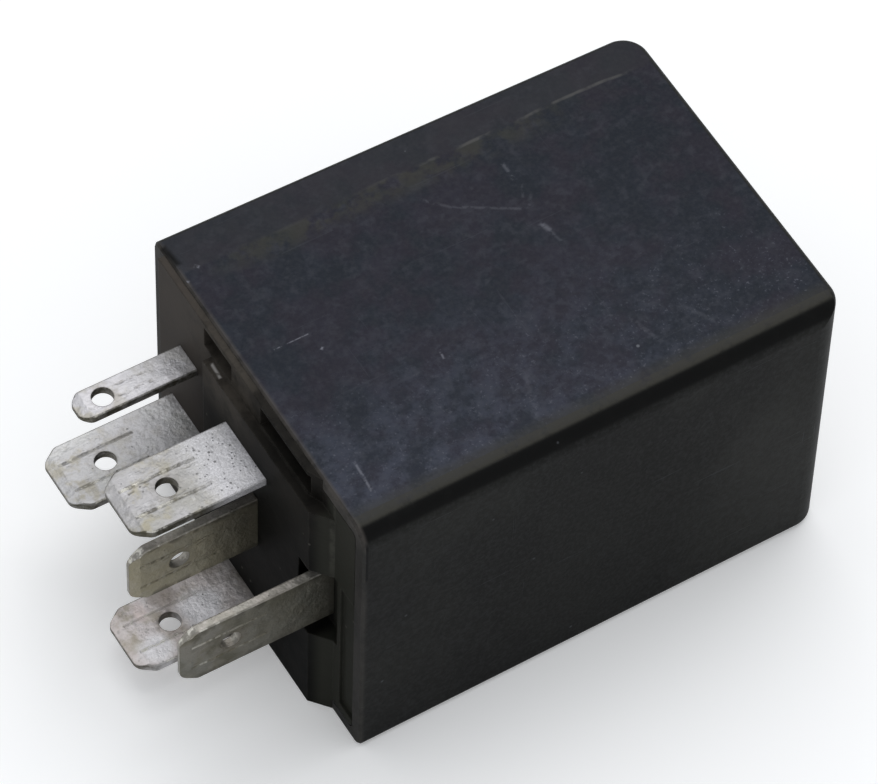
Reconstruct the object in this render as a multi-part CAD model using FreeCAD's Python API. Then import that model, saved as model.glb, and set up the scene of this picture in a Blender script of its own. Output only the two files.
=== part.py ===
import FreeCAD, Part
import math
import os

from FreeCAD import Vector

# A long-bodied six-blade automotive relay, lying on one of its sides.
# X runs along the length: the blades point to -X and the closed end of the cover to +X.
# Y runs across: the front side, next to the on-edge blade, faces -Y.
# Z is up. The origin is under the middle of the whole relay, blades included.
# All sizes are in millimetres. A "depth" is a distance from the cover's rim towards its closed end.

# Cover
body_length = 43.0
body_width = 32.0
body_height = 29.0
cover_wall = 1.2
side_draft = 0.5
top_draft = 0.1
edge_radius = 0.8
front_edge_radius = 2.0
end_corner_radius = 2.2
rim_break = 0.2
least_edge_radius = 0.5
rail_height = 1.0
rail_thickness = 0.8
rail_start = 7.0

# Base
flange_reach = 0.57
flange_inset = 0.12
flange_back_inset = 1.75
flange_bevel_run = 1.3
flange_bevel_y = -8.6
island_reach = 1.35
island_back_y = 6.0
island_top = 26.0
island_bevel_run = 1.6
island_bevel_y = -10.2
plug_depth = 4.5
plug_clearance = 0.1
front_strip_floor = 18.2
front_strip_recess = 0.3
front_strip_margin = 1.0
pocket_depth = 3.0
pocket_low = 26.2
pocket_high = 28.4
pocket_spans = ((2.9, 7.1), (-8.9, -1.5))
socket_depth = 2.2
socket_margin = 1.2
socket_front_margin = 2.4
snap_ridge_length = 9.0
snap_ridge_height = 0.35
snap_ridge_run = 0.7
snap_ridge_depth = 3.7
snap_clearance = 0.08

# Blades
blade_reach = 12.5
narrow_blade_reach = 10.5
blade_thickness = 0.8
wide_blade = 6.3
narrow_blade_width = 2.8
blade_hole = 1.8
wide_hole_inset = 4.3
narrow_hole_inset = 2.4
tip_corner_run = 1.4
tip_corner_side = 1.0
narrow_tip_run = 0.8
narrow_tip_side = 0.7
tip_corner_radius = 0.8
blade_edge_break = 0.1
tip_bevel_run = 0.9
tip_bevel_drop = 0.22
groove_width = 0.28
groove_depth = 0.07
groove_spacing = 2.7
groove_end_inset = 7.4
blade_slot_clearance = 0.04
tail_width = 1.6
narrow_tail_run = 2.0
narrow_tail_foot = 3.5
narrow_tail_gap = 0.2
back_tail_run = 1.2
back_tail_foot = 4.0
back_tail_slope = 1.0
centre_tail_width = 2.8
centre_tail_run = 0.5
front_tail_width = 4.4
front_foot_reach = 3.0

# The places below are for a cover 43 long, 32 wide and 29 high, and keep their proportion in any other.
length_share = body_length / 43.0
width_share = body_width / 32.0
height_share = body_height / 29.0
narrow_blade_place = (9.7 * width_share, 21.1 * height_share)
back_blade_place = (9.4 * width_share, 13.0 * height_share)
top_blade_place = (-0.6 * width_share, 21.9 * height_share)
centre_blade_place = (-2.0 * width_share, 14.8 * height_share)
bottom_blade_place = (-0.6 * width_share, 3.5 * height_share)
front_blade_place = (-9.9 * width_share, 14.0 * height_share)

# Circuit board
board_start = 5.0
board_end_gap = 1.6
board_room = 9.5
board_thickness = 1.5
board_edge_gap = 0.35
board_clearance = 0.1
lead_hole_clearance = 0.15

# Electromagnet
works_share = min(width_share, height_share)
magnet_z = 12.7 * height_share
yoke_thickness = 1.5
yoke_width = 11.0 * works_share
yoke_foot_depth = 7.2
yoke_foot_reach = 5.0
yoke_bend_radius = 1.8
yoke_arm_gap = 0.25
yoke_notch_width = 5.4 * works_share
yoke_horn_reach = 1.9
yoke_notch_back = 0.35
flange_width = 12.0 * works_share
bobbin_flange = 1.0
bobbin_wall = 0.6
bobbin_corner_radius = 1.2
core_diameter = 5.4 * works_share
core_stud_diameter = 3.4
core_stud_reach = 0.8
core_clearance = 0.03
pole_diameter = 9.4 * works_share
pole_thickness = 1.2
pole_break = 0.25
coil_length = 16.3
coil_diameter = 11.4 * works_share
coil_crown = 0.25
ear_width = 3.2
ear_margin = 1.1
stake_diameter = 1.6
stake_head = 2.3
stake_gap = 0.15
stake_head_height = 0.5

# Armature and contacts
armature_thickness = 1.3
armature_air = 0.08
armature_end_gap = 4.85
armature_neck = 4.8 * works_share
armature_corner_radius = 2.0
armature_shoulder_gap = 0.15
pivot_drop = 0.2
armature_tail_gap = 1.95
armature_open_degrees = 4.6
leaf_thickness = 0.25
leaf_width = 4.8
leaf_tip_width = 3.24
leaf_start_reach = 3.9
leaf_end_gap = 1.0
rivet_diameter = 1.2
rivet_head = 1.9
rivet_head_height = 0.4
head_break = 0.4
rivet_reaches = (-2.6, 3.0)
contact_gap = 2.55
contact_head = 2.6
contact_shank = 1.4
contact_tail = 1.9
contact_tail_height = 0.2
contact_height = 0.55
contact_air = 0.08
strip_thickness = 0.8
strip_bend_radius = 0.72
strip_gap = 0.7
strip_width = 3.6
strip_start = 6.4
contact_plate_overrun = 2.0
spring_wire = 0.3
spring_diameter = 1.9
spring_turns = 9
spring_steps = 10
spring_gap = 2.85
spring_to_yoke = 1.1
spring_hook_run = 1.0
spring_hook_reach = 0.3
spring_lead_in = 0.15
lug_depth = 13.0
lug_thickness = 0.9
lug_width = 2.4
lug_margin = 0.9
hook_hole = 0.6

# Coil pins
pin_side = 0.6
pin_corner = 1.7
pin_offset_z = 4.4
pin_reach = 0.9
pin_seat = 2.0


def on_board(at_depth, z):
    # A place drawn for the usual cover, moved in proportion with the real one.
    return (at_depth * length_share, z * height_share)


# Parts on the board
lead_diameter = 0.5
lead_reach = 0.6
lying_standoff = 0.15
resistor_diameter = 2.3
resistor_length = 6.2 * length_share
resistor_cap = 1.5 * length_share
resistor_waist = 1.9
resistor_pitch = 9.0 * length_share
resistor_places = (on_board(7.6, 24.6), on_board(19.0, 24.6), on_board(16.0, 21.0), on_board(22.6, 5.9))
diode_diameter = 2.7
diode_length = 5.2 * length_share
diode_pitch = 8.6 * length_share
diode_break = 0.2
diode_place = on_board(11.2, 5.9)
chip_length = 9.4
chip_width = 6.3
chip_height = 3.3
chip_standoff = 0.5
chip_side_slant = 0.35
chip_notch = 1.6
chip_notch_depth = 0.4
chip_arm_thickness = 0.24
chip_arm_seat = 0.3
chip_pitch = 2.54
chip_row = 7.62
chip_place = on_board(14.6, 13.6)
can_diameter = 6.3
can_length = 11.0 * length_share
can_neck_start = 1.0
can_neck_length = 0.6
can_neck_drop = 0.35
can_pitch = 2.5
can_lead_bare = 1.4
lead_seat = 0.5
can_place = on_board(27.4, 21.6)
film_length = 7.2 * length_share
film_thickness = 2.6
film_height = 6.6
film_pitch = 5.0 * length_share
film_standoff = 0.3
film_corner_radius = 0.4
film_place = on_board(36.2, 14.6)
transistor_width = 4.6
transistor_depth = 3.6
transistor_height = 4.6
transistor_pitch = 1.9
transistor_standoff = 1.4
transistor_place = on_board(34.6, 7.0)
solder_diameter = 1.5
solder_height = 0.45
solder_lip = 0.12

# Places that follow from the sizes
rim_x = (blade_reach - body_length) / 2
back_y = body_width / 2
front_y = -body_width / 2
base_face = -island_reach
bobbin_start = yoke_foot_depth + yoke_thickness
pole_depth = bobbin_start + 2 * bobbin_flange + coil_length
pole_face = pole_depth + pole_thickness
inside_high = body_height - top_draft - cover_wall
board_front_y = back_y - cover_wall - board_room
board_low = cover_wall + board_edge_gap
board_high = inside_high - board_edge_gap
board_end = body_length - cover_wall - board_end_gap
spring_axis_y = front_y + spring_gap
armature_tail_y = front_y + armature_tail_gap
arm_low_y = spring_axis_y + spring_to_yoke
arm_high_y = arm_low_y + yoke_thickness
magnet_y = arm_high_y + yoke_arm_gap + flange_width / 2
strip_high_y = board_front_y - strip_gap
strip_low_y = strip_high_y - strip_width
contact_y = board_front_y - contact_gap
armature_end_y = board_front_y - armature_end_gap
leaf_end_y = board_front_y - leaf_end_gap
leaf_start_y = magnet_y - leaf_start_reach
rivet_places = [magnet_y + reach for reach in rivet_reaches]
foot_high_y = magnet_y + yoke_foot_reach
pivot_y = arm_high_y - pivot_drop
pivot_depth = pole_face
armature_face = pole_face + armature_air
leaf_face = armature_face + armature_thickness
board_back_y = board_front_y + board_thickness


def depth(distance):
    return rim_x + distance


def block(depth_a, depth_b, y_a, y_b, z_a, z_b):
    corner = Vector(depth(min(depth_a, depth_b)), min(y_a, y_b), min(z_a, z_b))
    return Part.makeBox(abs(depth_b - depth_a), abs(y_b - y_a), abs(z_b - z_a), corner)


def rod(diameter, start, along, length):
    return Part.makeCylinder(diameter / 2, length, Vector(*start), Vector(*along))


def plate(points, lift):
    # A flat shape given by its corner points, thickened along the vector lift.
    corners = [Vector(*point) for point in points]
    return Part.Face(Part.makePolygon(corners + corners[:1])).extrude(Vector(*lift))


def fuse(shapes):
    whole = shapes[0].multiFuse(shapes[1:])
    return whole.removeSplitter()


def ring_of_points(centre, normal, across, sides):
    # An even-sided outline square to the vector normal: the section of a thin wire, or of a hole for one.
    side = Vector(0, 0, 1) if abs(normal.z) < 0.9 else Vector(1, 0, 0)
    first = side.cross(normal).normalize()
    second = normal.cross(first).normalize()
    turns = [2 * math.pi * i / sides for i in range(sides)]
    corners = [centre + (first * math.cos(t) + second * math.sin(t)) * (across / 2) for t in turns]
    return Part.makePolygon(corners + corners[:1])


def wire_run(across, points, sides=6):
    corners = [Vector(*point) for point in points]
    section = ring_of_points(corners[0], (corners[1] - corners[0]).normalize(), across, sides)
    if len(corners) == 2:
        return Part.Face(section).extrude(corners[1] - corners[0])
    square_corners = 1
    return Part.Wire(Part.makePolygon(corners)).makePipeShell([section], True, False, square_corners)


def edges_where(shape, test):
    return [edge for edge in shape.Edges if all(test(vertex.Point) for vertex in edge.Vertexes)]


def edges_along_x(shape):
    length = shape.BoundBox.XLength
    return [edge for edge in shape.Edges if abs(edge.Vertexes[0].X - edge.Vertexes[-1].X) > length / 2]


# The cover's drafted and rounded form, which the hollow, the plug and the flange share


def cover_half_width(at_depth, inset):
    return body_width / 2 - side_draft * at_depth / body_length - inset


def cover_top(at_depth, inset):
    return body_height - top_draft * at_depth / body_length - inset


def cover_block(depth_a, depth_b, inset):
    # A block whose sides and top close in towards the closed end, with its long edges rounded.
    half_a = cover_half_width(depth_a, inset)
    half_b = cover_half_width(depth_b, inset)
    high_a = cover_top(depth_a, inset)
    high_b = cover_top(depth_b, inset)
    block_body = Part.makeWedge(-half_a, depth(depth_a), inset, inset, -half_b,
                                half_a, depth(depth_b), high_a, high_b, half_b)
    block_body.rotate(Vector(0, 0, 0), Vector(0, 0, 1), -90)
    return block_body


def rounded_block(depth_a, depth_b, inset):
    plain = cover_block(depth_a, depth_b, inset)
    return plain.makeFillet(max(edge_radius - inset, least_edge_radius), edges_along_x(plain))


# The cover


def make_cover():
    outside = cover_block(0, body_length, 0)
    end_x = depth(body_length)
    corners = [edge for edge in edges_where(outside, lambda p: abs(p.x - end_x) < 1e-6)
               if abs(edge.Vertexes[0].Z - edge.Vertexes[1].Z) > body_height / 2]
    outside = outside.makeFillet(end_corner_radius, corners)
    outside = outside.makeFillet(edge_radius, level_edges(outside))
    outside = outside.common(front_rounding())
    rim = edges_where(outside, lambda p: abs(p.x - depth(0)) < 1e-6)
    outside = outside.makeChamfer(rim_break, rim)
    floor_depth = body_length - cover_wall
    cover = outside.cut(rounded_block(0, floor_depth, cover_wall))
    rails = []
    for y_low in (board_front_y - board_clearance - rail_thickness, board_back_y + board_clearance):
        rail = block(rail_start, floor_depth, y_low, y_low + rail_thickness, 0, body_height)
        gap = block(0, body_length, front_y, back_y, cover_wall + rail_height, inside_high - rail_height)
        rails.append(rail.cut(gap).common(rounded_block(0, body_length, cover_wall / 2)))
    cover = fuse([cover] + rails)
    return cover.cut(snap_ridges(snap_clearance))


def front_rounding():
    # The cover's plain form with the wide rounding of its front top edge, where fingers rub it.
    plain = cover_block(0, body_length, 0)
    found = []
    for edge in edges_along_x(plain):
        if edge.Vertexes[0].Y < 0 and edge.Vertexes[0].Z > body_height / 2:
            found.append(edge)
    return plain.makeFillet(front_edge_radius, found)


def level_edges(shape):
    # The edges round the top and the bottom, but for those at the open rim.
    found = []
    for edge in shape.Edges:
        heights = [vertex.Z for vertex in edge.Vertexes]
        at_rim = all(abs(vertex.X - depth(0)) < 1e-6 for vertex in edge.Vertexes)
        if not at_rim and max(heights) - min(heights) < body_height / 2:
            found.append(edge)
    return found


# The base


def snap_ridges(grow):
    # Two low wedge ridges on the plug's long sides, one each side, and the grooves that they snap into.
    ridges = []
    half = snap_ridge_length / 2 + grow
    run = snap_ridge_run + grow
    middle = depth(snap_ridge_depth)
    for side in (1, -1):
        foot_y = side * (back_y - cover_wall - plug_clearance - side_draft * snap_ridge_depth / body_length)
        crest_y = foot_y + side * (snap_ridge_height + grow)
        low = body_height / 2 - half
        points = ((middle - run, foot_y, low), (middle, crest_y, low), (middle + run, foot_y, low))
        ridges.append(plate(points, (0, 0, 2 * half)))
    return ridges[0].fuse(ridges[1])


def bevelled_front(reach, bevel_y, bevel_run, back_limit, top):
    # One level of the end face as seen from above, its front end sloping back to the rim, raised up to top.
    bevel_end = bevel_y - bevel_run
    points = ((depth(-reach), bevel_y, 0), (depth(0), bevel_end, 0), (depth(0), back_limit, 0),
              (depth(-reach), back_limit, 0))
    return plate(points, (0, 0, top))


def flange():
    whole = rounded_block(base_face, 0, flange_inset)
    back_limit = back_y - flange_back_inset
    low = bevelled_front(flange_reach, flange_bevel_y, flange_bevel_run, back_limit, body_height)
    island = bevelled_front(island_reach, island_bevel_y, island_bevel_run, island_back_y, island_top)
    return whole.common(fuse([low, island]))


def plug():
    inset = cover_wall + plug_clearance
    return rounded_block(0, plug_depth, inset)


def front_strip_cut():
    # Below the flush strip the plug's front corner stands back behind the rim.
    start_y = island_bevel_y - island_bevel_run - front_strip_margin
    low = cover_wall + plug_clearance + front_strip_margin
    return block(0, front_strip_recess, front_y, start_y, low, front_strip_floor)


def blade_slot(blade):
    place, width, upright = blade
    across = width / 2 + blade_slot_clearance
    thick = blade_thickness / 2 + blade_slot_clearance
    half_y, half_z = (thick, across) if upright else (across, thick)
    y, z = place
    slot_end = strip_start + blade_slot_clearance
    return block(base_face - 1, slot_end, y - half_y, y + half_y, z - half_z, z + half_z)


blades = {
    "narrow_blade": (narrow_blade_place, narrow_blade_width, False),
    "back_blade": (back_blade_place, wide_blade, False),
    "top_blade": (top_blade_place, wide_blade, False),
    "centre_blade": (centre_blade_place, wide_blade, True),
    "bottom_blade": (bottom_blade_place, wide_blade, False),
    "front_blade": (front_blade_place, wide_blade, True),
}


def stake_places():
    reach = flange_width / 2 + stake_head / 2 + stake_gap
    return [(magnet_y, magnet_z + side * reach) for side in (1, -1)]


def mounting_posts():
    # Two posts that the yoke's foot stands on, each with a stake through the foot and its melted head.
    half = ear_width / 2
    posts = []
    for y, z in stake_places():
        posts.append(block(plug_depth, yoke_foot_depth, y - half, y + half, z - ear_margin, z + ear_margin))
        length = yoke_foot_depth + yoke_thickness - plug_depth
        posts.append(rod(stake_diameter, (depth(plug_depth), y, z), (1, 0, 0), length))
        posts.append(rod(stake_head, (depth(bobbin_start), y, z), (1, 0, 0), stake_head_height))
    return posts


def make_base():
    base = fuse([flange(), plug(), snap_ridges(0)] + mounting_posts())
    cuts = [front_strip_cut()]
    for low, high in pocket_spans:
        cuts.append(block(base_face, base_face + pocket_depth, low, high, pocket_low, pocket_high))
    y, z = front_blade_place
    half = wide_blade / 2 + socket_margin
    cuts.append(block(base_face - 1, base_face + socket_depth, y - socket_front_margin, y + socket_margin,
                      z - half, z + half))
    for blade in blades.values():
        cuts.append(blade_slot(blade))
    return base.cut(Part.makeCompound(cuts))


# The blades


def blade_outline(width, reach, hole_inset, corner_run, corner_side):
    # A flat blade in the XY plane with its middle line on Y = 0 and its thickness centred on Z = 0.
    half = width / 2
    tip = depth(-reach)
    shoulder = tip + corner_run
    end = depth(plug_depth)
    points = ((tip, corner_side - half, 0), (shoulder, -half, 0), (end, -half, 0), (end, half, 0),
              (shoulder, half, 0), (tip, half - corner_side, 0))
    blade = plate(points, (0, 0, blade_thickness))
    blade.translate(Vector(0, 0, -blade_thickness / 2))
    corners = []
    for edge in blade.Edges:
        first, last = edge.Vertexes
        if first.X < end - 1 and abs(first.Z - last.Z) > blade_thickness / 2:
            corners.append(edge)
    blade = blade.makeFillet(tip_corner_radius, corners)
    long_sides = [edge for edge in edges_along_x(blade) if abs(edge.Vertexes[0].Y) > half - 1e-6]
    blade = blade.makeChamfer(blade_edge_break, long_sides)
    cuts = [rod(blade_hole, (tip + hole_inset, 0, -blade_thickness), (0, 0, 1), 2 * blade_thickness)]
    for side in (1, -1):
        surface = side * blade_thickness / 2
        bevel = ((tip, -half, surface - side * tip_bevel_drop), (tip, -half, surface + side),
                 (tip + tip_bevel_run, -half, surface + side), (tip + tip_bevel_run, -half, surface))
        cuts.append(plate(bevel, (0, width, 0)))
    return blade.cut(Part.makeCompound(cuts))


def blade_grooves():
    # Two stamped lines on each face, either side of the hole.
    grooves = []
    start = tip_bevel_run - blade_reach
    end = groove_end_inset - blade_reach
    for face in (1, -1):
        surface = face * blade_thickness / 2
        for side in (1, -1):
            y = side * groove_spacing / 2
            half = groove_width / 2
            points = ((depth(start), y - half, surface), (depth(start), y, surface - face * groove_depth),
                      (depth(start), y + half, surface))
            grooves.append(plate(points, (end - start, 0, 0)))
    return Part.makeCompound(grooves)


def place_blade(blade, place, upright):
    if upright:
        blade.rotate(Vector(0, 0, 0), Vector(1, 0, 0), 90)
    blade.translate(Vector(0, place[0], place[1]))
    return blade


def wide_blade_body():
    outline = blade_outline(wide_blade, blade_reach, wide_hole_inset, tip_corner_run, tip_corner_side)
    return outline.cut(blade_grooves())


def level_strip(points, z):
    low = z - strip_thickness / 2
    return plate([(depth(d), y, low) for d, y in points], (0, 0, strip_thickness))


def make_narrow_blade():
    # Its end steps sideways to a foot on the circuit board.
    y, z = narrow_blade_place
    blade = blade_outline(narrow_blade_width, narrow_blade_reach, narrow_hole_inset,
                          narrow_tip_run, narrow_tip_side)
    blade = place_blade(blade, narrow_blade_place, False)
    foot_y = board_back_y
    high = y + narrow_blade_width / 2
    start = plug_depth + narrow_tail_gap
    step = plug_depth + narrow_tail_run
    end = step + narrow_tail_foot
    inner = foot_y + tail_width
    tail = level_strip(((plug_depth, high), (step, high), (step, inner), (end, inner),
                        (end, foot_y), (start, foot_y), (start, y), (plug_depth, y)), z)
    return fuse([blade, tail])


def make_back_blade():
    y, z = back_blade_place
    blade = place_blade(wide_blade_body(), back_blade_place, False)
    foot_y = board_back_y
    high = y + wide_blade / 2
    step = plug_depth + back_tail_run
    end = step + back_tail_foot
    inner = foot_y + tail_width
    tail = level_strip(((plug_depth, high), (step, high - back_tail_slope), (step, inner), (end, inner),
                        (end, foot_y), (plug_depth, foot_y)), z)
    return fuse([blade, tail])


def contact_plate(at_depth, z_from, z_to):
    return block(at_depth, at_depth + strip_thickness, strip_low_y, strip_high_y, z_from, z_to)


def carrier(place, plate_depth, contact_side):
    # A blade that runs on inside as a strip and turns up or down to hold a fixed contact.
    y, z = place
    half = wide_blade / 2
    end = plate_depth + strip_thickness
    blade = place_blade(wide_blade_body(), place, False)
    strip = level_strip(((plug_depth, y - half), (plug_depth, y + half), (strip_start, strip_high_y),
                         (end, strip_high_y), (end, strip_low_y), (strip_start, strip_low_y)), z)
    outer = z + contact_side * -strip_thickness / 2
    far = magnet_z - contact_side * -contact_plate_overrun
    upright = contact_plate(plate_depth, outer, far)
    whole = fuse([blade, strip, upright])
    bend = edges_where(whole, lambda p: abs(p.x - depth(end)) < 1e-6 and abs(p.z - outer) < 1e-6)
    whole = whole.makeFillet(strip_bend_radius, bend)
    hole = rod(contact_shank, (depth(plate_depth) - 1, contact_y, magnet_z), (1, 0, 0), strip_thickness + 2)
    return whole.cut(hole)


def make_plate_depth():
    return leaf_face - contact_height - contact_air - contact_height - strip_thickness


def open_travel():
    return math.radians(armature_open_degrees) * (contact_y - pivot_y)


def break_plate_depth():
    return leaf_face + leaf_thickness + contact_height + open_travel() + contact_air * 2 + contact_height


def make_bottom_blade():
    return carrier(bottom_blade_place, make_plate_depth(), 1)


def make_top_blade():
    return carrier(top_blade_place, break_plate_depth(), -1)


def make_centre_blade():
    y, z = centre_blade_place
    blade = place_blade(wide_blade_body(), centre_blade_place, True)
    thin = blade_thickness / 2
    low = z - centre_tail_width / 2
    high = z + centre_tail_width / 2
    bend = plug_depth + centre_tail_run
    tail = block(plug_depth, bend + blade_thickness, y - thin, y + thin, low, high)
    foot = block(bend, bend + blade_thickness, y - thin, board_front_y, low, high)
    return fuse([blade, tail, foot])


def make_front_blade():
    y, z = front_blade_place
    blade = place_blade(wide_blade_body(), front_blade_place, True)
    thin = blade_thickness / 2
    low = z - front_tail_width / 2
    high = z + front_tail_width / 2
    foot_start = yoke_foot_depth - blade_thickness
    tail = block(plug_depth, yoke_foot_depth, y - thin, y + thin, low, high)
    foot = block(foot_start, yoke_foot_depth, y - thin, y + front_foot_reach, low, high)
    return fuse([blade, tail, foot])


# The circuit board and what it carries


def lead_places():
    # Each lead that passes through the board, as its depth and height.
    places = []
    for at_depth, z in resistor_places:
        places += [(at_depth, z), (at_depth + resistor_pitch, z)]
    at_depth, z = diode_place
    places += [(at_depth, z), (at_depth + diode_pitch, z)]
    places += chip_lead_places()
    at_depth, z = can_place
    places += [(at_depth, z - can_pitch / 2), (at_depth, z + can_pitch / 2)]
    at_depth, z = film_place
    places += [(at_depth - film_pitch / 2, z), (at_depth + film_pitch / 2, z)]
    places += transistor_lead_places()
    return places


def chip_lead_places():
    at_depth, z = chip_place
    row = chip_row / 2
    return [(at_depth + i * chip_pitch, z + side * row) for side in (1, -1) for i in range(4)]


def transistor_lead_places():
    at_depth, z = transistor_place
    return [(at_depth + i * transistor_pitch, z) for i in (-1, 0, 1)]


def pin_places():
    return [(bobbin_start + bobbin_flange / 2, magnet_z + side * pin_offset_z) for side in (1, -1)]


def across_board(across, places, y_from, y_to):
    return [wire_run(across, ((depth(d), y_from, z), (depth(d), y_to, z))) for d, z in places]


def make_circuit_board():
    board = block(board_start, board_end, board_front_y, board_back_y, board_low, board_high)
    lead_hole = lead_diameter + 2 * lead_hole_clearance
    pin_hole = pin_side * pin_corner + 2 * lead_hole_clearance
    holes = across_board(lead_hole, lead_places(), board_front_y - 1, board_back_y + 1)
    holes += across_board(pin_hole, pin_places(), board_front_y - 1, board_back_y + 1)
    return board.cut(Part.makeCompound(holes))


def solder_joint(at_depth, z, lead):
    # A low heap of solder round the wire, standing on the board's front.
    x = depth(at_depth)
    wide = solder_diameter / 2
    slim = lead / 2 + solder_lip
    top_y = board_front_y - solder_height
    heap = Part.makeWedge(x - slim, top_y, z - slim, z - wide, x - wide,
                          x + slim, board_front_y, z + slim, z + wide, x + wide)
    return heap.cut(wire_run(lead, ((x, top_y - 1, z), (x, board_front_y + 1, z))))


def make_solder_joints():
    joints = [solder_joint(at_depth, z, lead_diameter) for at_depth, z in lead_places()]
    joints += [solder_joint(at_depth, z, pin_side * pin_corner) for at_depth, z in pin_places()]
    return Part.makeCompound(joints)


def straight_leads(places, y_to):
    return across_board(lead_diameter, places, board_front_y - lead_reach, y_to)


def axial_part(place, pitch, body, body_y):
    # A part lying along X whose two wires bend down into the board.
    at_depth, z = place
    start = depth(at_depth)
    end = depth(at_depth + pitch)
    low = board_front_y - lead_reach
    wire = wire_run(lead_diameter, ((start, low, z), (start, body_y, z), (end, body_y, z), (end, low, z)))
    return fuse([body, wire])


def resistor_body(place, body_y):
    # A dumbbell: a slimmer waist between two end caps.
    at_depth, z = place
    start = depth(at_depth + (resistor_pitch - resistor_length) / 2)
    far_cap = start + resistor_length - resistor_cap
    caps = [rod(resistor_diameter, (x, body_y, z), (1, 0, 0), resistor_cap) for x in (start, far_cap)]
    waist_start = start + resistor_cap
    waist = rod(resistor_waist, (waist_start, body_y, z), (1, 0, 0), far_cap - waist_start)
    return fuse([waist] + caps)


def make_resistors():
    body_y = board_back_y + resistor_diameter / 2 + lying_standoff
    parts = []
    for place in resistor_places:
        parts.append(axial_part(place, resistor_pitch, resistor_body(place, body_y), body_y))
    return Part.makeCompound(parts)


def make_diode():
    at_depth, z = diode_place
    body_y = board_back_y + diode_diameter / 2 + lying_standoff
    start = depth(at_depth + (diode_pitch - diode_length) / 2)
    body = rod(diode_diameter, (start, body_y, z), (1, 0, 0), diode_length)
    body = body.makeChamfer(diode_break, [edge for edge in body.Edges if edge.Closed])
    return axial_part(diode_place, diode_pitch, body, body_y)


def make_control_chip():
    at_depth, z = chip_place
    overhang = (chip_length - 3 * chip_pitch) / 2
    low_y = board_back_y + chip_standoff
    x_a = at_depth - overhang
    x_b = x_a + chip_length
    half = chip_width / 2
    middle_y = low_y + chip_height / 2
    slim = half - chip_side_slant
    high_y = low_y + chip_height
    section = ((slim, low_y), (half, middle_y), (slim, high_y),
               (-slim, high_y), (-half, middle_y), (-slim, low_y))
    body = plate([(depth(x_a), y, z + across) for across, y in section], (x_b - x_a, 0, 0))
    notch = rod(chip_notch, (depth(x_a), high_y - chip_notch_depth, z), (0, 1, 0), 1)
    parts = [body.cut(notch)]
    parts += straight_leads(chip_lead_places(), middle_y)
    row = chip_row / 2
    for d, lead_z in chip_lead_places():
        inner = z + math.copysign(half - chip_arm_seat, lead_z - z)
        outer = z + math.copysign(row + lead_diameter / 2, lead_z - z)
        arm = lead_diameter / 2
        thin = chip_arm_thickness / 2
        parts.append(block(d - arm, d + arm, middle_y - thin, middle_y + thin, inner, outer))
    return fuse(parts)


def make_timing_capacitor():
    at_depth, z = can_place
    body_y = board_back_y + can_diameter / 2 + lying_standoff
    start = depth(at_depth + can_lead_bare)
    # The can has a rolled-in neck near its seal.
    neck_end = start + can_neck_start + can_neck_length
    can = fuse([rod(can_diameter, (start, body_y, z), (1, 0, 0), can_neck_start),
                rod(can_diameter - 2 * can_neck_drop, (start, body_y, z), (1, 0, 0), neck_end - start),
                rod(can_diameter, (neck_end, body_y, z), (1, 0, 0), start + can_length - neck_end)])
    low = board_front_y - lead_reach
    wires = []
    for lead_z in (z - can_pitch / 2, z + can_pitch / 2):
        x = depth(at_depth)
        wires.append(wire_run(lead_diameter, ((x, low, lead_z), (x, body_y, lead_z),
                                             (start + lead_seat, body_y, lead_z))))
    return fuse([can] + wires)


def make_film_capacitor():
    at_depth, z = film_place
    low_y = board_back_y + film_standoff
    half = film_length / 2
    thick = film_thickness / 2
    body = block(at_depth - half, at_depth + half, low_y, low_y + film_height, z - thick, z + thick)
    upright = [edge for edge in body.Edges if abs(edge.Vertexes[0].Y - edge.Vertexes[1].Y) > 1]
    body = body.makeFillet(film_corner_radius, upright)
    places = [(at_depth - film_pitch / 2, z), (at_depth + film_pitch / 2, z)]
    return fuse([body] + straight_leads(places, low_y + lead_seat))


def make_transistor():
    at_depth, z = transistor_place
    low_y = board_back_y + transistor_standoff
    radius = transistor_width / 2
    flat_z = z - (transistor_depth - radius)
    body = rod(transistor_width, (depth(at_depth), low_y, z), (0, 1, 0), transistor_height)
    high_y = low_y + transistor_height
    flat = block(at_depth - radius, at_depth + radius, low_y, high_y, flat_z - radius, flat_z)
    return fuse([body.cut(flat)] + straight_leads(transistor_lead_places(), low_y + lead_seat))


# The electromagnet


def make_coil_bobbin():
    half = flange_width / 2
    flanges = []
    for start in (bobbin_start, pole_depth - bobbin_flange):
        square = block(start, start + bobbin_flange, magnet_y - half, magnet_y + half,
                       magnet_z - half, magnet_z + half)
        flanges.append(square.makeFillet(bobbin_corner_radius, edges_along_x(square)))
    bore = core_diameter + 2 * core_clearance
    start = (depth(bobbin_start), magnet_y, magnet_z)
    length = pole_depth - bobbin_start
    tube = rod(bore + 2 * bobbin_wall, start, (1, 0, 0), length)
    bobbin = fuse([tube] + flanges).cut(rod(bore, start, (1, 0, 0), length))
    return bobbin.cut(Part.makeCompound(pin_bars()))


def pin_bars():
    half = pin_side / 2
    y_from = magnet_y + flange_width / 2 - pin_seat
    high = board_back_y + pin_reach
    return [block(d - half, d + half, y_from, high, z - half, z + half) for d, z in pin_places()]


def make_coil_pins():
    return Part.makeCompound(pin_bars())


def make_coil_winding():
    # The wound wire as one roll on the bobbin's tube, with its last turns stepping down at each end.
    start = (depth(bobbin_start + bobbin_flange), magnet_y, magnet_z)
    roll = rod(coil_diameter, start, (1, 0, 0), coil_length)
    roll = roll.makeChamfer(coil_crown, [edge for edge in roll.Edges if edge.Closed])
    inner = core_diameter + 2 * core_clearance + 2 * bobbin_wall
    return roll.cut(rod(inner, start, (1, 0, 0), coil_length))


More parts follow.
